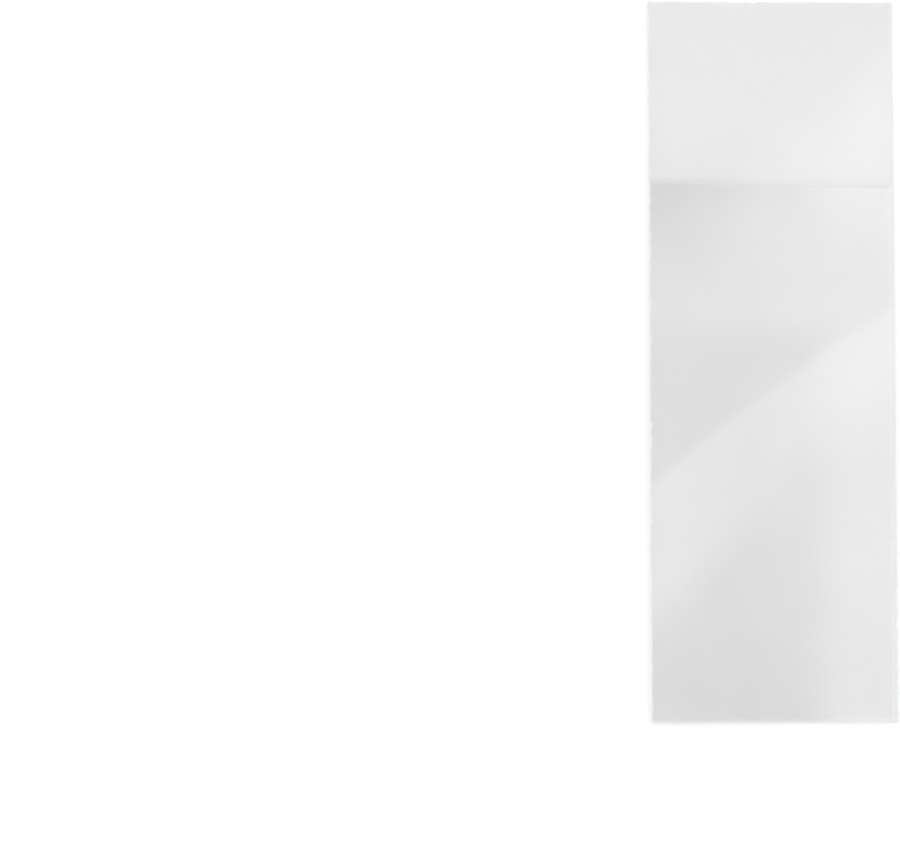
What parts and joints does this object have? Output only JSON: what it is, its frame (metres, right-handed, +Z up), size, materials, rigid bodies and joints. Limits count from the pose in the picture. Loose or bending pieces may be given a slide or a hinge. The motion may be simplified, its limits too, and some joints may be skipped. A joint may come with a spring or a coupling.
{
  "type": "microscope slide",
  "caption": "Flat rectangular glass plate with cut edges, clear over most of its length, and with one end ground matt on both faces for a written label. Holds a specimen under a microscope.",
  "frame": {"origin": "centre of the underside, on the surface that the slide lies on", "axes": "+X across the slide's width, +Y along its length towards the matt end, +Z up through its thickness"},
  "size_m": [0.026, 0.076, 0.001],
  "materials": {
    "glass": "clear float glass with polished faces, snapped edges, and one end ground matt on both faces"
  },
  "bodies": {
    "root": {"slide": "glass"}
  },
  "joints": []
}
